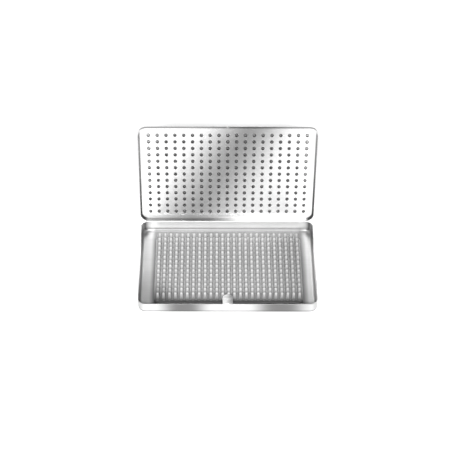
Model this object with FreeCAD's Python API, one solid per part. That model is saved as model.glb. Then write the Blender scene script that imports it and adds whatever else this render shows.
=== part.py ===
import FreeCAD, Part
import math
import os

# Instrument tray: a shallow drawn steel pan with a perforated hinged lid, a silicone finger mat
# laid in the pan and a spring catch at the middle of the front wall.
# Frame: origin at the centre of the pan's flat underside, +X to the right, +Y to the hinges at
# the back, +Z up. All sizes in millimetres. The lid is built shut and then swung fully open.

Vector = FreeCAD.Vector
X_AXIS = Vector(1, 0, 0)

# Pan
SHEET = 0.7
PAN_WIDTH = 204.0
PAN_DEPTH = 140.0
PAN_HEIGHT = 14.6
PAN_CORNER = 9.0
PAN_BOTTOM_RADIUS = 4.5

# Lid, shut: its rim caps the pan's walls from outside
LID_SIDE_GAP = 0.2
LID_TOP_GAP = 0.2
LID_RIM_DROP = 3.8
LID_EDGE_RADIUS = 1.1
LID_WIDTH = PAN_WIDTH + 2 * (LID_SIDE_GAP + SHEET)
LID_DEPTH = PAN_DEPTH + 2 * (LID_SIDE_GAP + SHEET)
LID_CORNER = PAN_CORNER + LID_SIDE_GAP + SHEET
LID_UNDERSIDE = PAN_HEIGHT + LID_TOP_GAP
LID_TOP = LID_UNDERSIDE + SHEET
LID_RIM_EDGE = LID_TOP - LID_RIM_DROP

# Perforations
HOLE_RADIUS = 1.5
HOLE_PITCH_X = 10.1
HOLE_PITCH_Y = 9.7
LID_HOLES = (19, 13)
PAN_HOLES = (16, 10)

# Finger mat: it lies loose in the pan, a little right of the middle
MAT_WIDTH = 171.0
MAT_DEPTH = 110.0
MAT_OFF_CENTRE = 1.2
MAT_CORNER = 6.0
MAT_PLATE = 2.0
MAT_TIP_HEIGHT = 13.4
FINGERS = (25, 14)
FINGER_PITCH_X = 6.75
FINGER_PITCH_Y = 7.6
FINGER_ROOT_RADIUS = 2.3
FINGER_TIP_RADIUS = 1.9

# Hinges: two small butt hinges behind the pan, with a stop tail that carries the open lid
HINGE_X = 60.0
HINGE_WIDTH = 24.0
HINGE_AXIS_OUT = 2.2
HINGE_AXIS_HEIGHT = 10.9
LEAF_THICKNESS = 0.5
PAN_LEAF_LOW = 4.9
LID_LEAF_LOW = HINGE_AXIS_HEIGHT + 1.3
LID_LEAF_HIGH = LID_TOP - LID_EDGE_RADIUS
BARREL_RADIUS = 1.2
BORE_RADIUS = 0.65
PIN_RADIUS = 0.6
PIN_HEAD_RADIUS = 0.95
PIN_HEAD = 0.4
LID_KNUCKLE = 7.9
KNUCKLE_GAP = 0.15
STOP_TAIL_REACH = 3.6
STOP_GAP = 0.05
OPENING_ANGLE = 90.0

# Catch: spring strip welded low on the front wall, with a dished thumb pad and a button
SPRING_WIDTH = 11.5
SPRING_THICKNESS = 0.4
SPRING_WALL_GAP = 0.05
SPRING_LOW = 4.7
SPRING_TOP = 14.5
SPRING_BEND = 0.3
PAD_REACH = 15.5
DISH_RADIUS = 4.9
DISH_DEPTH = 0.9
BUTTON_WIDTH = 2.2
BUTTON_LOW = 12.8
BUTTON_HIGH = 13.8
BUTTON_STICKS_OUT = 1.6
BUTTON_CHAMFER = 0.45
PAN_NOTCH_WIDTH = 2.8
PAN_NOTCH_LOW = 12.5
LID_WINDOW_WIDTH = 2.7
LID_WINDOW_LOW = 12.6
LID_WINDOW_HIGH = 14.2

HINGE_AXIS = Vector(0, PAN_DEPTH / 2 + HINGE_AXIS_OUT, HINGE_AXIS_HEIGHT)


def block(x_low, x_high, y_low, y_high, z_low, z_high):
    corner = Vector(x_low, y_low, z_low)
    return Part.makeBox(x_high - x_low, y_high - y_low, z_high - z_low, corner)


def rounded_block(width, depth, z_low, z_high, corner_radius):
    """Block centred on the Z axis, with its four upright edges rounded."""
    solid = block(-width / 2, width / 2, -depth / 2, depth / 2, z_low, z_high)
    upright = [edge for edge in solid.Edges if edge.BoundBox.ZLength > (z_high - z_low) / 2]
    return solid.makeFillet(corner_radius, upright)


def round_level_edges(solid, level, radius):
    """Round every edge that lies in the horizontal plane at the given level."""
    edges = []
    for edge in solid.Edges:
        box = edge.BoundBox
        if abs(box.ZMin - level) < 1e-4 and abs(box.ZMax - level) < 1e-4:
            edges.append(edge)
    return solid.makeFillet(radius, edges)


def grid(counts, pitch_x, pitch_y):
    """Centres of a rectangular grid about the origin."""
    columns, rows = counts
    for column in range(columns):
        for row in range(rows):
            x = (column - (columns - 1) / 2) * pitch_x
            y = (row - (rows - 1) / 2) * pitch_y
            yield x, y


def hole_drills(counts, z_low, z_high):
    """Round punches for one perforated field."""
    height = z_high - z_low
    places = grid(counts, HOLE_PITCH_X, HOLE_PITCH_Y)
    return [Part.makeCylinder(HOLE_RADIUS, height, Vector(x, y, z_low)) for x, y in places]


def swung_open(solid):
    """The same lid-side piece with the lid fully open."""
    opened = solid.copy()
    opened.rotate(HINGE_AXIS, X_AXIS, -OPENING_ANGLE)
    return opened


def make_base_pan():
    outside = rounded_block(PAN_WIDTH, PAN_DEPTH, 0, PAN_HEIGHT, PAN_CORNER)
    outside = round_level_edges(outside, 0, PAN_BOTTOM_RADIUS)
    inner_width = PAN_WIDTH - 2 * SHEET
    inner_depth = PAN_DEPTH - 2 * SHEET
    above = PAN_HEIGHT + 1
    inside = rounded_block(inner_width, inner_depth, SHEET, above, PAN_CORNER - SHEET)
    inside = round_level_edges(inside, SHEET, PAN_BOTTOM_RADIUS - SHEET)
    front = -PAN_DEPTH / 2
    half_notch = PAN_NOTCH_WIDTH / 2
    notch = block(-half_notch, half_notch, front - 1, front + 2 * SHEET, PAN_NOTCH_LOW, above)
    return outside.cut([inside, notch] + hole_drills(PAN_HOLES, -1, SHEET + 1))


def make_lid_shell():
    outside = rounded_block(LID_WIDTH, LID_DEPTH, LID_RIM_EDGE, LID_TOP, LID_CORNER)
    outside = round_level_edges(outside, LID_TOP, LID_EDGE_RADIUS)
    inner_width = LID_WIDTH - 2 * SHEET
    inner_depth = LID_DEPTH - 2 * SHEET
    below = LID_RIM_EDGE - 1
    inside = rounded_block(inner_width, inner_depth, below, LID_UNDERSIDE, LID_CORNER - SHEET)
    inside = round_level_edges(inside, LID_UNDERSIDE, LID_EDGE_RADIUS - SHEET)
    front = -LID_DEPTH / 2
    half_window = LID_WINDOW_WIDTH / 2
    window = block(-half_window, half_window, front - 1, front + 2 * SHEET,
                   LID_WINDOW_LOW, LID_WINDOW_HIGH)
    drills = hole_drills(LID_HOLES, LID_UNDERSIDE - 0.5, LID_TOP + 1)
    return swung_open(outside.cut([inside, window] + drills))


def make_finger():
    """One tapered finger with a domed tip, standing on the mat's plate at the origin."""
    root = SHEET + MAT_PLATE
    dome_base = MAT_TIP_HEIGHT - FINGER_TIP_RADIUS
    stem = Part.makeCone(FINGER_ROOT_RADIUS, FINGER_TIP_RADIUS, dome_base - root,
                         Vector(0, 0, root))
    dome = Part.makeSphere(FINGER_TIP_RADIUS, Vector(0, 0, dome_base), Vector(0, 0, 1), 0, 90, 360)
    return stem.fuse(dome)


def make_finger_mat():
    top = SHEET + MAT_PLATE
    plate = rounded_block(MAT_WIDTH, MAT_DEPTH, SHEET, top, MAT_CORNER)
    finger = make_finger()
    fingers = []
    for x, y in grid(FINGERS, FINGER_PITCH_X, FINGER_PITCH_Y):
        copy = finger.copy()
        copy.translate(Vector(x, y, 0))
        fingers.append(copy)
    mat = plate.fuse(fingers)
    mat.translate(Vector(MAT_OFF_CENTRE, 0, 0))
    return mat


def barrel(x_low, x_high):
    """One hinge knuckle without its bore."""
    return Part.makeCylinder(BARREL_RADIUS, x_high - x_low,
                             Vector(x_low, HINGE_AXIS.y, HINGE_AXIS.z), X_AXIS)


def pin_bore(x_mid):
    start = Vector(x_mid - HINGE_WIDTH, HINGE_AXIS.y, HINGE_AXIS.z)
    return Part.makeCylinder(BORE_RADIUS, 2 * HINGE_WIDTH, start, X_AXIS)


def make_hinge_base_leaf(x_mid):
    wall = PAN_DEPTH / 2
    half_width = HINGE_WIDTH / 2
    web_top = HINGE_AXIS.z - BARREL_RADIUS + LEAF_THICKNESS
    leaf = block(x_mid - half_width, x_mid + half_width, wall, wall + LEAF_THICKNESS,
                 PAN_LEAF_LOW, web_top)
    lid_leaf_rests = HINGE_AXIS.z + HINGE_AXIS.y - LID_DEPTH / 2 - LEAF_THICKNESS
    tail_top = lid_leaf_rests - STOP_GAP
    inner_end = LID_KNUCKLE / 2 + KNUCKLE_GAP
    pieces = []
    for x_low, x_high in ((x_mid - half_width, x_mid - inner_end),
                          (x_mid + inner_end, x_mid + half_width)):
        web = block(x_low, x_high, wall, HINGE_AXIS.y, HINGE_AXIS.z - BARREL_RADIUS, web_top)
        tail = block(x_low, x_high, HINGE_AXIS.y, HINGE_AXIS.y + STOP_TAIL_REACH,
                     tail_top - LEAF_THICKNESS, tail_top)
        pieces += [web, tail, barrel(x_low, x_high)]
    return leaf.fuse(pieces).cut(pin_bore(x_mid)).removeSplitter()


def make_hinge_lid_leaf(x_mid):
    rim_face = LID_DEPTH / 2
    half_width = HINGE_WIDTH / 2
    half_knuckle = LID_KNUCKLE / 2
    leaf = block(x_mid - half_width, x_mid + half_width, rim_face, rim_face + LEAF_THICKNESS,
                 LID_LEAF_LOW, LID_LEAF_HIGH)
    neck = block(x_mid - half_knuckle, x_mid + half_knuckle, rim_face, rim_face + LEAF_THICKNESS,
                 HINGE_AXIS.z, LID_LEAF_LOW)
    knuckle = barrel(x_mid - half_knuckle, x_mid + half_knuckle)
    shut = leaf.fuse([neck, knuckle]).cut(pin_bore(x_mid)).removeSplitter()
    return swung_open(shut)


def make_hinge_pin(x_mid):
    start = x_mid - HINGE_WIDTH / 2
    end = x_mid + HINGE_WIDTH / 2
    shank = Part.makeCylinder(PIN_RADIUS, HINGE_WIDTH, Vector(start, HINGE_AXIS.y, HINGE_AXIS.z),
                              X_AXIS)
    heads = [Part.makeCylinder(PIN_HEAD_RADIUS, PIN_HEAD, Vector(x, HINGE_AXIS.y, HINGE_AXIS.z),
                               X_AXIS) for x in (start - PIN_HEAD, end)]
    return shank.fuse(heads)


def make_catch_spring():
    """Upright leg with a rounded foot, tight bend and a level tongue with a round dished pad."""
    half_width = SPRING_WIDTH / 2
    back = -PAN_DEPTH / 2 + SHEET + SPRING_WALL_GAP
    under = SPRING_TOP - SPRING_THICKNESS
    bend_outside = SPRING_BEND + SPRING_THICKNESS
    pad_centre_y = back + PAD_REACH - half_width
    foot_radius = SPRING_THICKNESS / 2
    foot_axis = Vector(-half_width, back + foot_radius, SPRING_LOW + foot_radius)
    foot = Part.makeCylinder(foot_radius, SPRING_WIDTH, foot_axis, X_AXIS)
    leg = block(-half_width, half_width, back, back + SPRING_THICKNESS, foot_axis.z,
                SPRING_TOP - bend_outside)
    bend_start = Vector(-half_width, back + bend_outside, SPRING_TOP - bend_outside)
    tube = Part.makeCylinder(bend_outside, SPRING_WIDTH, bend_start, X_AXIS)
    tube = tube.cut(Part.makeCylinder(SPRING_BEND, SPRING_WIDTH, bend_start, X_AXIS))
    quarter = block(-half_width, half_width, back, bend_start.y, bend_start.z, SPRING_TOP)
    tongue = block(-half_width, half_width, bend_start.y, pad_centre_y, under, SPRING_TOP)
    pad_low = Vector(0, pad_centre_y, under)
    pad = Part.makeCylinder(half_width, SPRING_THICKNESS, pad_low)
    dish_sphere = (DISH_RADIUS ** 2 + DISH_DEPTH ** 2) / (2 * DISH_DEPTH)
    dish_centre = Vector(0, pad_centre_y, SPRING_TOP - DISH_DEPTH + dish_sphere)
    bowl_room = Part.makeCylinder(half_width, DISH_DEPTH + SPRING_THICKNESS,
                                  Vector(0, pad_centre_y, under - DISH_DEPTH))
    bowl = Part.makeSphere(dish_sphere + SPRING_THICKNESS, dish_centre).common(bowl_room)
    spring = leg.fuse([foot, tube.common(quarter), tongue, pad, bowl])
    return spring.cut(Part.makeSphere(dish_sphere, dish_centre)).removeSplitter()


def make_catch_button():
    """Small cam-topped button on the spring, through the pan's notch into the lid's window."""
    back = -PAN_DEPTH / 2 + SHEET + SPRING_WALL_GAP
    face = -PAN_DEPTH / 2 - BUTTON_STICKS_OUT
    outline = [Vector(0, back, BUTTON_LOW), Vector(0, face, BUTTON_LOW),
               Vector(0, face, BUTTON_HIGH - BUTTON_CHAMFER),
               Vector(0, face + BUTTON_CHAMFER, BUTTON_HIGH), Vector(0, back, BUTTON_HIGH)]
    profile = Part.Face(Part.makePolygon(outline + outline[:1]))
    button = profile.extrude(Vector(BUTTON_WIDTH, 0, 0))
    button.translate(Vector(-BUTTON_WIDTH / 2, 0, 0))
    return button


def save(name, shape):
    shape.exportStep("parts/" + name + ".step")
    print(name, "solids", len(shape.Solids), "volume", round(shape.Volume, 1), shape.isValid())


os.makedirs("parts", exist_ok=True)
save("base_pan", make_base_pan())
save("lid_shell", make_lid_shell())
save("finger_mat", make_finger_mat())
for side, x_mid in (("left", -HINGE_X), ("right", HINGE_X)):
    save("hinge_base_leaf_" + side, make_hinge_base_leaf(x_mid))
    save("hinge_lid_leaf_" + side, make_hinge_lid_leaf(x_mid))
    save("hinge_pin_" + side, make_hinge_pin(x_mid))
save("catch_spring", make_catch_spring())
save("catch_button", make_catch_button())
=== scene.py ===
import bpy
import bmesh
import math
import random
from mathutils import Matrix, Vector


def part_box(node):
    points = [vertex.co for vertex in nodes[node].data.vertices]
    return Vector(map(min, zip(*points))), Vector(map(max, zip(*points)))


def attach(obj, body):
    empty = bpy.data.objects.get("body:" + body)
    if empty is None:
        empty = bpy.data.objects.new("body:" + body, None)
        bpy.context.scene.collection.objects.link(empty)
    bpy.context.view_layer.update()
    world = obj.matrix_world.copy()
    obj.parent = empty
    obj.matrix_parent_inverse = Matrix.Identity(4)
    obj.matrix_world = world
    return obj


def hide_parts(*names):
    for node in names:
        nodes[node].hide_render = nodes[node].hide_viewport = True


# Looks for the instrument tray: steel pan and perforated lid, silicone finger mat, hinges, catch.
# Metres, in the frame of the CAD model: +X right, +Y to the hinges, +Z up.

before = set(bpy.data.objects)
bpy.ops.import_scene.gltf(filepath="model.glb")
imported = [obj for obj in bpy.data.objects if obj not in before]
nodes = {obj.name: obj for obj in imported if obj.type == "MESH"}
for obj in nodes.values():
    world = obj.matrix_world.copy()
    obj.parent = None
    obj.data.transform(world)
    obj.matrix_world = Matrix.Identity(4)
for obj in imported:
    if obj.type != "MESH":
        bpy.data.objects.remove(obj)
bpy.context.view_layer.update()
MM = 0.001

# A ramp is (from, to, value at from, value at to), smooth between and flat beyond.
# A line is (centre, half width): 1 on the line, 0 at the half width and beyond.
RISE = (0.0, 1.0)
FALL = (1.0, 0.0)

# Steels: (light tone, dark tone, lowest roughness, highest roughness, metallic)
LID_STEEL = (0.84, 0.79, 0.44, 0.50, 0.7)
PAN_STEEL = (0.72, 0.66, 0.30, 0.36, 1.0)
HINGE_STEEL = (0.74, 0.64, 0.34, 0.42, 1.0)
CATCH_STEEL = (0.50, 0.44, 0.30, 0.38, 0.45)
# Noises: (scale, detail, roughness)
STEEL_CLOUDS = (14.0, 4.0, 0.55)
STEEL_STREAKS = (1.0, 4.0, 0.6)
STEEL_STREAK_STRETCH = (40, 900, 900)
STEEL_SHARES = (0.6, 0.4)
STEEL_TONE_RANGE = (0.35, 0.65)
STEEL_ROUGHNESS_RANGE = (0.3, 0.7)
# Bumps: (distance, strength)
STEEL_GRAIN = (0.02 * MM, 0.6)

# Lid: hole grid with painted shade around the holes, slanting band of painted dark reflection,
# painted shade along the turned rim
LID_CORNER = 9.9 * MM
LID_HOLE_PITCH = (10.1 * MM, 9.7 * MM)
LID_HOLE_COUNT = (19, 13)
# Painted shade around the holes: ring radii, tone and vertical squash
LID_HOLE_RING = (1.70 * MM, 2.35 * MM)
LID_HOLE_SHADE_TONE = 0.06
LID_HOLE_SQUASH = 0.8
# Painted dark reflection on the lid: slant, line and depth of a soft band
LID_REFLECTION_SLANT = 0.477
LID_REFLECTION_LINE = (-0.0471, 0.069)
LID_TONES_START = 0.02
LID_REFLECTION_DEPTH = (0.535, 0.69)
# Painted shade: the lid darker towards the top
LID_FADE_UPWARDS = (0.99, 0.70)
# Painted shade along the turned rim: where its strip lies and how deep it goes
LID_RIM_SHEET = (-0.6 * MM, -0.2 * MM)
LID_RIM_STRIP = (-3.0 * MM, -1.4 * MM)
LID_RIM_BELOW_TOP = (-12 * MM, -4 * MM)
LID_RIM_DEPTH = (0.94, 0.64)
LID_RIM_ENDS = (0.088, 0.098, *RISE)
LID_RIM_ALONG = (-0.03, 0.05, 0.85, 0.4)
LID_OUTER_FACE = (-0.5 * MM, -0.2 * MM)
LID_OUTER_ROUGHER = 0.18

# Pan, outside: two painted dark reflections on the front, painted shade on the bottom fold line
# and at the ends
PAN_CORNER = 9.0 * MM
PAN_OUTSIDE = (-0.6 * MM, -0.2 * MM, *RISE)
PAN_UNDERSIDE = (-0.15, -0.03, *FALL)
# Painted dark reflections on the front outside
PAN_REFLECTION_LINES = ((-0.050, 0.042), (0.060, 0.050))
PAN_REFLECTION_ON_FRONT = (-0.068, -0.060, *FALL)
PAN_REFLECTION_TONE = (*RISE, 0.68, 0.17)
# Painted shade on the bottom fold outside, with the metallic lowered there
PAN_FOLD_LINE = (0.0034, 0.0060, *FALL)
PAN_FOLD_TONE = (*RISE, 1.0, 0.30)
PAN_FOLD_METALLIC = (*RISE, 0.75, 0.1)
# Painted shade at the ends
PAN_ENDS = (0.0945, 0.1005, 1.0, 0.72)
PAN_INSIDE_ROUGHER = (*RISE, 0.14, 0.0)

# Pan, inside: painted light and shade on the floor
MAT_CENTRE_X = 1.2 * MM
FLOOR_FROM_FRONT = (-0.068, -0.048, 0.038, 0.37)
FLOOR_DARK_LEFT = (-0.06, 0.02, *FALL)
FLOOR_DARK_FRONT = (-0.055, 0.05, 0.16, 0.0)
FLOOR_BEHIND_MAT = (0.050, 0.060, 1.0, 1.25)
FLOOR_BY_MAT = (85.5 * MM, 92.0 * MM, 0.34, 1.15)
FLOOR_ACROSS = (-0.09, 0.09, 0.9, 0.80)
FLOOR_RIGHT_EDGE = (0.0910, 0.0945, 1.0, 1.38)
FLOOR_REAR_EDGE = (0.0615, 0.0650, 1.0, 1.3)

# Pan, inside: painted light and shade on the walls, on the fold at the rear and in the rounded
# corners
WALL_TONE = 0.62
WALL_REAR = (0.054, 0.062, *RISE)
WALL_REAR_UPWARDS = (0.0015, 0.0080, 0.0, 0.50)
WALL_FRONT = (-0.068, -0.064, 0.5, 0.0)
WALL_SIDES = (0.092, 0.099, 0.0, 0.8)
WALL_SIDES_FRONT = (-0.05, 0.0, 0.3, 1.0)
WALL_SIDES_REAR = (0.03, 0.05, *FALL)
WALL_ABOVE_FLOOR = (0.0012, 0.006, *RISE)
# Painted light and shade on the rear fold, by its tilt
FOLD_DARK_TILT = (0.28, 0.33)
FOLD_DARK_LIFT = 1.2
FOLD_BRIGHT_TILT = (0.81, 0.155)
FOLD_BRIGHT_DIP = 0.62
FOLD_MIDDLE = (0.084, 0.094, *FALL)
# Painted shade in the rounded corners
CORNER_INSET = 3.0 * MM
CORNER_HALF_DEPTH = 68.0 * MM
CORNER_RADIUS = 20.0 * MM
CORNER_EDGE = (-3.0 * MM, 3.0 * MM, 0.0, 0.60)
CORNER_REAR = (0.020, 0.045, *RISE)
CORNER_LEFT = (-0.09, -0.07, 0.55, 0.0)
CORNER_FRONT = (-0.040, -0.015, *FALL)
CORNER_ENDS = (0.080, 0.096, *RISE)

# Catch: lit from its left
CATCH_ACROSS = (-0.003, 0.005, 1.1, 0.4)

# Mat: painted light and shade by height up a finger (parts of the mat's height) and by place
MAT_STEM = (0.14, 0.45)
MAT_TIP = (0.55, 1.0, 0.88, 0.97)
MAT_FRONT_FACE_HEIGHT = (0.2, 0.95)
MAT_FRONT_ROWS = (-0.052, -0.030, *RISE)
MAT_REAR_ROWS = (0.015, 0.055, *RISE)
# Painted shade at the front left of the mat
MAT_SHADE_LEFT = (-0.085, -0.045, *FALL)
MAT_SHADE_FRONT = (-0.055, -0.010, *FALL)
MAT_SHADE_TONE = (*RISE, 1.0, 0.55)
MAT_RIGHT = (0.035, 0.085, 1.0, 0.78)
MAT_FRONT_FACE = (-0.0524, -0.0500, *FALL)
MAT_ROOT_TONES = (0.12, 0.305, 0.335)
MAT_BODY_TONE = 0.345
MAT_FRONT_FACE_TONES = (0.03, 0.34)
MAT_CLOUD_TONES = (0.62, 0.80)
MAT_CLOUD_SHARE = 0.35

MAT_CLOUDS = (90.0, 4.0, 0.6)
MAT_CLOUD_RANGE = (0.3, 0.7)
MAT_ROUGHNESS = (0.46, 0.6)
MAT_SPECULAR = 0.3
MAT_SUBSURFACE = 0.15
MAT_SUBSURFACE_RADIUS = (2 * MM, 2 * MM, 2 * MM)
MAT_SPECKLE = (1500.0, 2.0, 0.5)
MAT_SPECKLE_BUMP = (0.02 * MM, 0.4)

# Mat geometry
FINGERS = (25, 14)
PITCH = (6.75 * MM, 7.6 * MM)
ROOT_RADIUS = 2.3 * MM
TIP_RADIUS = 1.9 * MM
ROOT_FLARE = ((0.7 * MM, 0.0), (0.25 * MM, 0.25 * MM), (0.0, 0.8 * MM))
STEM_STEPS = (0.3, 0.6, 0.85, 1.0)
DOME_STEPS = (18, 36, 54, 72)
SIDES = 20
LEAN = 0.012
LEAN_SEED = 7
SINK = 0.02 * MM
PLATE = 2.0 * MM
PLATE_CORNER = 6.0 * MM
PLATE_CORNER_STEPS = 8
PLATE_FOOT = ((0.5 * MM, 0.0), (0.15 * MM, 0.15 * MM), (0.0, 0.5 * MM))
PLATE_RIM = ((0.0, 0.6 * MM), (0.15 * MM, 0.2 * MM), (0.6 * MM, 0.0))
SMOOTH_UP_TO = 50

# Floor, light and camera
FLOOR_HALF = 6.0
FLOOR_GAP = 0.05 * MM
FLOOR_CLOUDS = (3.0, 2.0, 0.5)
FLOOR_TONES = (0.88, 0.92)
FLOOR_ROUGHNESS = 0.9
FLOOR_SPECULAR = 0.2
WORLD_LIGHT = 0.13
WORLD_SEEN = 0.95
KEY_PLACE = (-0.03, -2.5, 2.21)
KEY_AIM = (0, 0, 0.03)
KEY_SIZE = (0.95, 0.4)
KEY_POWER = 310.0
CAMERA_PLACE = (-0.01761, -1.36884, 1.3188)
CAMERA_YAW_DROP_ROLL = (0.604, 42.326, 0.503)
CAMERA_LENS = 130.25
CAMERA_SENSOR = 36


# ---------------------------------------------------------------- node helpers

def new_material(name):
    material = bpy.data.materials.new(name)
    material.use_nodes = True
    tree = material.node_tree
    shader = tree.nodes["Principled BSDF"]
    return material, tree, shader


def add(tree, kind, **values):
    node = tree.nodes.new(kind)
    for key, value in values.items():
        setattr(node, key, value)
    return node


def place(tree, stretch=(1, 1, 1)):
    """Object coordinates, stretched."""
    source = add(tree, "ShaderNodeTexCoord")
    mapping = add(tree, "ShaderNodeMapping")
    mapping.inputs["Scale"].default_value = stretch
    tree.links.new(source.outputs["Object"], mapping.inputs["Vector"])
    return mapping.outputs["Vector"]


def parts_of(tree, kind):
    """X, Y and Z of the point on the object ("Object") or of the surface's normal ("Normal")."""
    source = add(tree, "ShaderNodeTexCoord")
    axes = add(tree, "ShaderNodeSeparateXYZ")
    tree.links.new(source.outputs[kind], axes.inputs["Vector"])
    return axes.outputs["X"], axes.outputs["Y"], axes.outputs["Z"]


def noise(tree, where, scale, detail, rough):
    node = add(tree, "ShaderNodeTexNoise")
    node.inputs["Scale"].default_value = scale
    node.inputs["Detail"].default_value = detail
    node.inputs["Roughness"].default_value = rough
    tree.links.new(where, node.inputs["Vector"])
    return node.outputs["Fac"]


def spread(tree, value, low, high, to_low, to_high):
    """Remap a value smoothly by a ramp."""
    node = add(tree, "ShaderNodeMapRange", interpolation_type="SMOOTHSTEP")
    for socket, number in zip(("From Min", "From Max", "To Min", "To Max"),
                              (low, high, to_low, to_high)):
        node.inputs[socket].default_value = number
    tree.links.new(value, node.inputs["Value"])
    return node.outputs["Result"]


def calc(tree, operation, a, b=0.0):
    node = add(tree, "ShaderNodeMath", operation=operation)
    for socket, value in zip(node.inputs, (a, b)):
        if isinstance(value, (int, float)):
            socket.default_value = value
        else:
            tree.links.new(value, socket)
    return node.outputs["Value"]


def product(tree, first, *others):
    for other in others:
        first = calc(tree, "MULTIPLY", first, other)
    return first


def total(tree, first, *others):
    for other in others:
        first = calc(tree, "ADD", first, other)
    return first


def rest_of(tree, value):
    """1 less the value."""
    return calc(tree, "SUBTRACT", 1.0, value)


def apart(tree, value, middle=0.0):
    """Distance of a value from the middle."""
    return calc(tree, "ABSOLUTE", calc(tree, "SUBTRACT", value, middle))


def band(tree, across, centre, half_width):
    """1 on the line, falling smoothly to 0 at half_width from it."""
    return spread(tree, apart(tree, across, centre), 0.0, half_width, *FALL)


def blend(tree, factor, low, high):
    """Mix of two colours, each a colour or a socket."""
    node = add(tree, "ShaderNodeMix", data_type="RGBA")
    tree.links.new(factor, node.inputs["Factor"])
    for socket, value in ((node.inputs[6], low), (node.inputs[7], high)):
        if isinstance(value, (tuple, list)):
            socket.default_value = (*value, 1.0)
        else:
            tree.links.new(value, socket)
    return node.outputs[2]


def times(tree, colour, factor, share=1.0):
    """Colour multiplied by a socket, as far as the share says."""
    node = add(tree, "ShaderNodeMix", data_type="RGBA", blend_type="MULTIPLY")
    node.inputs["Factor"].default_value = share
    tree.links.new(colour, node.inputs[6])
    tree.links.new(factor, node.inputs[7])
    return node.outputs[2]


def bump(tree, height, distance, strength):
    node = add(tree, "ShaderNodeBump")
    node.inputs["Strength"].default_value = strength
    node.inputs["Distance"].default_value = distance
    tree.links.new(height, node.inputs["Height"])
    return node.outputs["Normal"]


def grey(value):
    return (value, value, value)


def from_outline(tree, x, y, centre, half_x, half_y, corner):
    """Signed distance from a rounded rectangle: 0 on its outline, below 0 inside."""
    past_x = calc(tree, "SUBTRACT", apart(tree, x, centre.x), half_x - corner)
    past_y = calc(tree, "SUBTRACT", apart(tree, y, centre.y), half_y - corner)
    out_x = calc(tree, "MAXIMUM", past_x, 0.0)
    out_y = calc(tree, "MAXIMUM", past_y, 0.0)
    diagonal = calc(tree, "SQRT", total(tree, product(tree, out_x, out_x),
                                        product(tree, out_y, out_y)))
    within = calc(tree, "MINIMUM", calc(tree, "MAXIMUM", past_x, past_y), 0.0)
    return calc(tree, "SUBTRACT", total(tree, diagonal, within), corner)


def hole_edges(tree, x, z, centre):
    """1 close to the lid's punched holes, 0 away from them: where the painted shade around the
    holes goes.
    """
    offs = []
    inside = []
    for value, middle, step, number, squash in zip((x, z), centre, LID_HOLE_PITCH,
                                                   LID_HOLE_COUNT, (1.0, LID_HOLE_SQUASH)):
        reach = number * step / 2
        turns = calc(tree, "DIVIDE", calc(tree, "SUBTRACT", value, middle - reach), step)
        part = calc(tree, "SUBTRACT", calc(tree, "FRACT", turns), 0.5)
        off = product(tree, part, step * squash)
        offs.append(product(tree, off, off))
        inside.append(calc(tree, "LESS_THAN", apart(tree, value, middle), reach))
    gap = calc(tree, "SQRT", total(tree, *offs))
    return product(tree, spread(tree, gap, *LID_HOLE_RING, *FALL), *inside)


# ---------------------------------------------------------------- materials

def steel(name, light, dark, rough_low, rough_high, metallic):
    """Rolled stainless sheet: fine grain along X and soft polishing clouds."""
    material, tree, shader = new_material(name)
    shader.inputs["Metallic"].default_value = metallic
    clouds = noise(tree, place(tree), *STEEL_CLOUDS)
    streaks = noise(tree, place(tree, STEEL_STREAK_STRETCH), *STEEL_STREAKS)
    mix = total(tree, product(tree, clouds, STEEL_SHARES[0]),
                product(tree, streaks, STEEL_SHARES[1]))
    colour = blend(tree, spread(tree, mix, *STEEL_TONE_RANGE, *RISE), grey(dark), grey(light))
    roughness = spread(tree, mix, *STEEL_ROUGHNESS_RANGE, rough_high, rough_low)
    tree.links.new(colour, shader.inputs["Base Color"])
    tree.links.new(roughness, shader.inputs["Roughness"])
    tree.links.new(bump(tree, streaks, *STEEL_GRAIN), shader.inputs["Normal"])
    return material, tree, shader, colour, roughness


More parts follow.
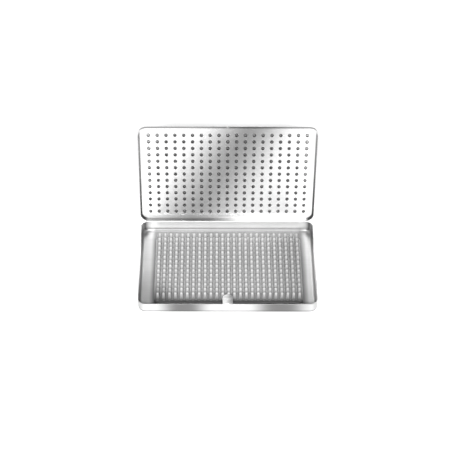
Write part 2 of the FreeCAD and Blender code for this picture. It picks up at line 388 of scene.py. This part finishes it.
def lid_sheet():
    """Bright sheet with one soft slanting band of painted dark reflection, painted shade towards
    the top, along the rim and around the holes.
    """
    material, tree, shader, colour, roughness = steel("lid_sheet", *LID_STEEL)
    low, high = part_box("lid_shell")
    centre = (low + high).xz / 2
    half = (high - low) / 2
    x, y, z = parts_of(tree, "Object")

    # Painted dark reflection: a soft slanting band, deeper towards the top; then painted shade
    # darker towards the top
    line = calc(tree, "SUBTRACT", x, product(tree, z, LID_REFLECTION_SLANT))
    deep = spread(tree, z, LID_TONES_START, high.z, *LID_REFLECTION_DEPTH)
    painted_dark_reflection = product(tree, band(tree, line, *LID_REFLECTION_LINE), deep)
    colour = times(tree, colour, rest_of(tree, painted_dark_reflection))
    colour = times(tree, colour, spread(tree, z, low.z, high.z, *LID_FADE_UPWARDS))

    edge = from_outline(tree, x, z, centre, half.x, half.z, LID_CORNER)
    # Painted shade in a strip along the turned rim, below its top edge: deeper low down, along the
    # left and at the ends
    rim_shade = product(tree,
                  spread(tree, z, *(high.z + drop for drop in LID_RIM_BELOW_TOP), *FALL),
                  spread(tree, edge, *LID_RIM_STRIP, *RISE),
                  spread(tree, y, *(high.y + step for step in LID_RIM_SHEET), *FALL),
                  calc(tree, "MAXIMUM", spread(tree, apart(tree, x), *LID_RIM_ENDS),
                       spread(tree, x, *LID_RIM_ALONG)),
                  spread(tree, z, LID_TONES_START, high.z, *LID_RIM_DEPTH))
    colour = times(tree, colour, rest_of(tree, rim_shade))

    # Painted shade around the punched holes
    hole_shade = hole_edges(tree, x, z, centre)
    colour = times(tree, colour, spread(tree, hole_shade, *RISE, 1.0, LID_HOLE_SHADE_TONE))

    outer = spread(tree, y, *(high.y + step for step in LID_OUTER_FACE), 0.0, LID_OUTER_ROUGHER)
    tree.links.new(total(tree, roughness, outer), shader.inputs["Roughness"])
    tree.links.new(colour, shader.inputs["Base Color"])
    return material


def pan_floor_painted_light(tree, x, y):
    """Satin floor with painted light and shade: painted shade at the front and front left and a
    little towards the right, a painted shadow beside the mat, painted reflection lighter behind
    the mat and at the right and rear edges.
    """
    dark = product(tree, spread(tree, x, *FLOOR_DARK_LEFT), spread(tree, y, *FLOOR_DARK_FRONT))
    beside = apart(tree, x, MAT_CENTRE_X)
    return product(tree, spread(tree, y, *FLOOR_FROM_FRONT), rest_of(tree, dark),
                   spread(tree, y, *FLOOR_BEHIND_MAT), spread(tree, beside, *FLOOR_BY_MAT),
                   spread(tree, x, *FLOOR_ACROSS), spread(tree, x, *FLOOR_RIGHT_EDGE),
                   spread(tree, y, *FLOOR_REAR_EDGE))


def pan_wall_painted_light(tree, x, y, z):
    """Painted light on the inner walls: the rear one lighter towards its top, the side ones
    lighter midway, the front one lighter.
    """
    rear = product(tree, spread(tree, y, *WALL_REAR), spread(tree, z, *WALL_REAR_UPWARDS))
    sides = product(tree, spread(tree, apart(tree, x), *WALL_SIDES),
                    spread(tree, y, *WALL_SIDES_FRONT), spread(tree, y, *WALL_SIDES_REAR))
    return total(tree, rear, WALL_TONE, spread(tree, y, *WALL_FRONT), sides)


def pan_fold_painted_light(tree, x, normal_y):
    """Painted light and shade on the rear fold by its tilt, 0 the floor and 1 the rear wall:
    painted light where it reflects dark, painted shade over its highlight.
    """
    tilt = product(tree, normal_y, -1.0)
    lift = product(tree, band(tree, tilt, *FOLD_DARK_TILT), FOLD_DARK_LIFT,
                   spread(tree, apart(tree, x), *FOLD_MIDDLE))
    dip = product(tree, band(tree, tilt, *FOLD_BRIGHT_TILT), FOLD_BRIGHT_DIP)
    return product(tree, total(tree, lift, 1.0), rest_of(tree, dip))


def pan_corner_painted_shade(tree, x, y, centre, half_x):
    """Painted shade in the rounded corners: both at the rear, and a fainter one at the front left.
    """
    inner = from_outline(tree, x, y, centre, half_x - CORNER_INSET, CORNER_HALF_DEPTH,
                         CORNER_RADIUS)
    front = product(tree, spread(tree, x, *CORNER_LEFT), spread(tree, y, *CORNER_FRONT))
    dark = product(tree, spread(tree, inner, *CORNER_EDGE),
                   calc(tree, "MAXIMUM", spread(tree, y, *CORNER_REAR), front),
                   spread(tree, apart(tree, x), *CORNER_ENDS))
    return rest_of(tree, dark)


def pan_sheet():
    """Bright outside with two painted dark reflections on the front and painted shade at the
    bottom fold and ends; satin inside with painted light and shade.
    """
    material, tree, shader, colour, roughness = steel("pan_sheet", *PAN_STEEL)
    low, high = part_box("base_pan")
    centre = (low + high).xy / 2
    x, y, z = parts_of(tree, "Object")
    normal_y, normal_z = parts_of(tree, "Normal")[1:]

    edge = from_outline(tree, x, y, centre, high.x, high.y, PAN_CORNER)
    out = calc(tree, "MAXIMUM", spread(tree, edge, *PAN_OUTSIDE),
               spread(tree, normal_z, *PAN_UNDERSIDE))
    # Painted dark reflections: two soft upright bands on the front outside
    painted_dark_reflection = product(tree, calc(tree, "MAXIMUM", *(band(tree, x, *line) for line in PAN_REFLECTION_LINES)),
                   spread(tree, y, *PAN_REFLECTION_ON_FRONT))
    # Painted shade on the bottom fold outside; the metallic is lowered there too
    bottom_fold_shade = spread(tree, z, *PAN_FOLD_LINE)
    outside = times(tree, colour, spread(tree, painted_dark_reflection, *PAN_REFLECTION_TONE))
    outside = times(tree, outside, spread(tree, bottom_fold_shade, *PAN_FOLD_TONE))
    # Painted shade towards the left and right ends
    outside = times(tree, outside, spread(tree, apart(tree, x), *PAN_ENDS))

    wall = spread(tree, z, *WALL_ABOVE_FLOOR)
    tone = total(tree, product(tree, wall, pan_wall_painted_light(tree, x, y, z)),
                 product(tree, rest_of(tree, wall), pan_floor_painted_light(tree, x, y)))
    tone = product(tree, tone, pan_fold_painted_light(tree, x, normal_y),
                   pan_corner_painted_shade(tree, x, y, centre, high.x))

    tree.links.new(blend(tree, out, times(tree, colour, tone), outside),
                   shader.inputs["Base Color"])
    tree.links.new(spread(tree, product(tree, bottom_fold_shade, out), *PAN_FOLD_METALLIC),
                   shader.inputs["Metallic"])
    tree.links.new(total(tree, roughness, spread(tree, out, *PAN_INSIDE_ROUGHER)),
                   shader.inputs["Roughness"])
    return material


def catch_satin():
    """Catch strip and button: satin, with painted shade making the right side greyer."""
    material, tree, shader, colour, _ = steel("catch_satin", *CATCH_STEEL)
    x = parts_of(tree, "Object")[0]
    tree.links.new(times(tree, colour, spread(tree, x, *CATCH_ACROSS)),
                   shader.inputs["Base Color"])
    return material


def silicone(floor_z, tip_z):
    """Milky moulded silicone with faint clouds; painted light and shade: light tips, shaded roots,
    darker front rows, front faces, front left and right side.
    """
    material, tree, shader = new_material("milky_silicone")
    x, y, z = parts_of(tree, "Object")
    clouds = noise(tree, place(tree), *MAT_CLOUDS)

    def level(part):
        return floor_z + part * (tip_z - floor_z)

    # Painted shade at the roots: darkest at the front rows, lightest at the rear
    front_tone, middle_tone, rear_tone = MAT_ROOT_TONES
    root = blend(tree, spread(tree, y, *MAT_FRONT_ROWS), grey(front_tone), grey(middle_tone))
    root = blend(tree, spread(tree, y, *MAT_REAR_ROWS), root, grey(rear_tone))
    stem = spread(tree, z, *(level(part) for part in MAT_STEM), *RISE)
    body = blend(tree, stem, root, grey(MAT_BODY_TONE))
    tip_from, tip_to, *tip_tones = MAT_TIP
    body = times(tree, body, spread(tree, z, level(tip_from), level(tip_to), *tip_tones))
    # Painted shade: darker at the front left
    front_left_shade = product(tree, spread(tree, x, *MAT_SHADE_LEFT), spread(tree, y, *MAT_SHADE_FRONT))
    body = times(tree, body, spread(tree, front_left_shade, *MAT_SHADE_TONE))
    # Painted shade: darker towards the right
    body = times(tree, body, spread(tree, x, *MAT_RIGHT))
    # Painted shade on the front faces of the front row, darkest low down
    rise = spread(tree, z, *(level(part) for part in MAT_FRONT_FACE_HEIGHT), *RISE)
    shade = blend(tree, rise, *(grey(tone) for tone in MAT_FRONT_FACE_TONES))
    body = blend(tree, spread(tree, y, *MAT_FRONT_FACE), body, shade)
    tint = blend(tree, spread(tree, clouds, *MAT_CLOUD_RANGE, *RISE),
                 *(grey(tone) for tone in MAT_CLOUD_TONES))
    tree.links.new(times(tree, body, tint, MAT_CLOUD_SHARE), shader.inputs["Base Color"])
    tree.links.new(spread(tree, clouds, *MAT_CLOUD_RANGE, *MAT_ROUGHNESS),
                   shader.inputs["Roughness"])
    shader.inputs["Specular IOR Level"].default_value = MAT_SPECULAR
    shader.inputs["Subsurface Weight"].default_value = MAT_SUBSURFACE
    shader.inputs["Subsurface Radius"].default_value = MAT_SUBSURFACE_RADIUS
    speckle = noise(tree, place(tree), *MAT_SPECKLE)
    tree.links.new(bump(tree, speckle, *MAT_SPECKLE_BUMP), shader.inputs["Normal"])
    return material


def dress(node, material):
    slots = nodes[node].data.materials
    if len(slots):
        for index in range(len(slots)):
            slots[index] = material
    else:
        slots.append(material)


dress("lid_shell", lid_sheet())
dress("base_pan", pan_sheet())
hinge_steel = steel("hinge_satin", *HINGE_STEEL)[0]
for side in ("left", "right"):
    for part in ("hinge_base_leaf_", "hinge_lid_leaf_", "hinge_pin_"):
        dress(part + side, hinge_steel)
catch_steel = catch_satin()
dress("catch_spring", catch_steel)
dress("catch_button", catch_steel)


# ---------------------------------------------------------------- finger mat

def outline(half_x, half_y, radius):
    """Rounded rectangle about the origin, counter-clockwise."""
    steps = PLATE_CORNER_STEPS
    points = []
    for quarter in range(4):
        cx = (half_x - radius) * (1 if quarter in (0, 3) else -1)
        cy = (half_y - radius) * (1 if quarter in (0, 1) else -1)
        for step in range(steps + 1):
            angle = math.radians(90 * quarter + 90 * step / steps)
            points.append((cx + radius * math.cos(angle), cy + radius * math.sin(angle)))
    return points


def bridge(mesh, rings):
    """Faces between rings of vertices that follow each other upwards."""
    count = len(rings[0])
    for lower, upper in zip(rings, rings[1:]):
        for i in range(count):
            j = (i + 1) % count
            mesh.faces.new((lower[i], lower[j], upper[j], upper[i]))


def add_plate(mesh, centre, half_x, half_y, low, high):
    """Moulded plate with soft edges."""
    rings = []
    for inset, z in (*((inset, low + up) for inset, up in PLATE_FOOT),
                     *((inset, high - down) for inset, down in PLATE_RIM)):
        loop = outline(half_x - inset, half_y - inset, PLATE_CORNER - inset)
        rings.append([mesh.verts.new((centre.x + x, centre.y + y, z)) for x, y in loop])
    bridge(mesh, rings)
    mesh.faces.new(rings[-1])
    mesh.faces.new(list(reversed(rings[0])))


def finger_profile(low, high):
    """Radius and height up one finger: root flare, tapered stem, domed tip."""
    profile = [(ROOT_RADIUS + flare, low + up) for flare, up in ROOT_FLARE]
    dome = high - TIP_RADIUS
    for step in STEM_STEPS:
        profile.append((ROOT_RADIUS + (TIP_RADIUS - ROOT_RADIUS) * step,
                        low + (dome - low) * step))
    for angle in DOME_STEPS:
        turn = math.radians(angle)
        profile.append((TIP_RADIUS * math.cos(turn), dome + TIP_RADIUS * math.sin(turn)))
    return profile


def add_finger(mesh, x, y, profile, lean):
    low, top = profile[0][1], profile[-1][1]
    rings = []
    for radius, z in profile:
        up = z - low
        rings.append([mesh.verts.new((x + lean[0] * up + radius * math.cos(turn),
                                      y + lean[1] * up + radius * math.sin(turn), z))
                      for turn in (2 * math.pi * i / SIDES for i in range(SIDES))])
    tip_z = top + TIP_RADIUS * (1 - math.sin(math.radians(DOME_STEPS[-1])))
    tip = mesh.verts.new((x + lean[0] * (tip_z - low), y + lean[1] * (tip_z - low), tip_z))
    bridge(mesh, rings)
    for i in range(SIDES):
        mesh.faces.new((rings[-1][i], rings[-1][(i + 1) % SIDES], tip))


def make_mat():
    low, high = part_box("finger_mat")
    centre = (low + high) / 2
    half = (high - low) / 2
    plate_top = low.z + PLATE
    mesh = bmesh.new()
    add_plate(mesh, centre, half.x, half.y, low.z, plate_top)
    profile = finger_profile(plate_top - SINK, high.z)
    chance = random.Random(LEAN_SEED)
    for column in range(FINGERS[0]):
        for row in range(FINGERS[1]):
            x = centre.x + (column - (FINGERS[0] - 1) / 2) * PITCH[0]
            y = centre.y + (row - (FINGERS[1] - 1) / 2) * PITCH[1]
            lean = (chance.uniform(-LEAN, LEAN), chance.uniform(-LEAN, LEAN))
            add_finger(mesh, x, y, profile, lean)
    data = bpy.data.meshes.new("silicone_finger_mat")
    mesh.to_mesh(data)
    mesh.free()
    data.polygons.foreach_set("use_smooth", [True] * len(data.polygons))
    data.set_sharp_from_angle(angle=math.radians(SMOOTH_UP_TO))
    mat = bpy.data.objects.new("silicone_finger_mat", data)
    bpy.context.scene.collection.objects.link(mat)
    data.materials.append(silicone(low.z, high.z))
    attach(mat, "base")
    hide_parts("finger_mat")


make_mat()


# ---------------------------------------------------------------- floor, light, camera

def make_floor():
    size = FLOOR_HALF
    data = bpy.data.meshes.new("floor")
    data.from_pydata([(-size, -size, 0), (size, -size, 0), (size, size, 0), (-size, size, 0)],
                     [], [(0, 1, 2, 3)])
    floor = bpy.data.objects.new("floor", data)
    bpy.context.scene.collection.objects.link(floor)
    floor.location.z = -FLOOR_GAP
    material, tree, shader = new_material("pale_floor")
    cloud = noise(tree, place(tree), *FLOOR_CLOUDS)
    tree.links.new(blend(tree, cloud, *(grey(tone) for tone in FLOOR_TONES)),
                   shader.inputs["Base Color"])
    shader.inputs["Roughness"].default_value = FLOOR_ROUGHNESS
    shader.inputs["Specular IOR Level"].default_value = FLOOR_SPECULAR
    data.materials.append(material)


def make_key_light():
    light = bpy.data.lights.new("key_light", "AREA")
    light.shape = "RECTANGLE"
    light.size, light.size_y = KEY_SIZE
    light.energy = KEY_POWER
    box = bpy.data.objects.new("key_light", light)
    box.location = KEY_PLACE
    direction = Vector(KEY_AIM) - Vector(KEY_PLACE)
    box.rotation_euler = direction.to_track_quat("-Z", "Y").to_euler()
    box.visible_camera = False
    bpy.context.scene.collection.objects.link(box)


def make_world():
    """Dim room light; the camera sees it as a pale backdrop."""
    world = bpy.data.worlds.new("studio")
    world.use_nodes = True
    tree = world.node_tree
    background = tree.nodes["Background"]
    backdrop = add(tree, "ShaderNodeBackground")
    for node, strength in ((background, WORLD_LIGHT), (backdrop, WORLD_SEEN)):
        node.inputs["Color"].default_value = (1, 1, 1, 1)
        node.inputs["Strength"].default_value = strength
    ray = add(tree, "ShaderNodeLightPath")
    chosen = add(tree, "ShaderNodeMixShader")
    tree.links.new(ray.outputs["Is Camera Ray"], chosen.inputs["Fac"])
    tree.links.new(background.outputs[0], chosen.inputs[1])
    tree.links.new(backdrop.outputs[0], chosen.inputs[2])
    tree.links.new(chosen.outputs[0], tree.nodes["World Output"].inputs["Surface"])
    bpy.context.scene.world = world


def make_camera():
    yaw, drop, roll = (math.radians(a) for a in CAMERA_YAW_DROP_ROLL)
    forward = Vector((math.sin(yaw) * math.cos(drop), math.cos(yaw) * math.cos(drop),
                      -math.sin(drop)))
    right = Vector((math.cos(yaw), -math.sin(yaw), 0))
    up = right.cross(forward)
    right, up = (math.cos(roll) * right + math.sin(roll) * up,
                 -math.sin(roll) * right + math.cos(roll) * up)
    data = bpy.data.cameras.new("camera")
    data.sensor_width = CAMERA_SENSOR
    data.lens = CAMERA_LENS
    camera = bpy.data.objects.new("camera", data)
    turn = Matrix((right, up, -forward)).transposed().to_4x4()
    camera.matrix_world = Matrix.Translation(CAMERA_PLACE) @ turn
    bpy.context.scene.collection.objects.link(camera)
    bpy.context.scene.camera = camera


make_floor()
make_world()
make_key_light()
make_camera()

view = bpy.context.scene.view_settings
view.view_transform = "Standard"
view.look = "None"
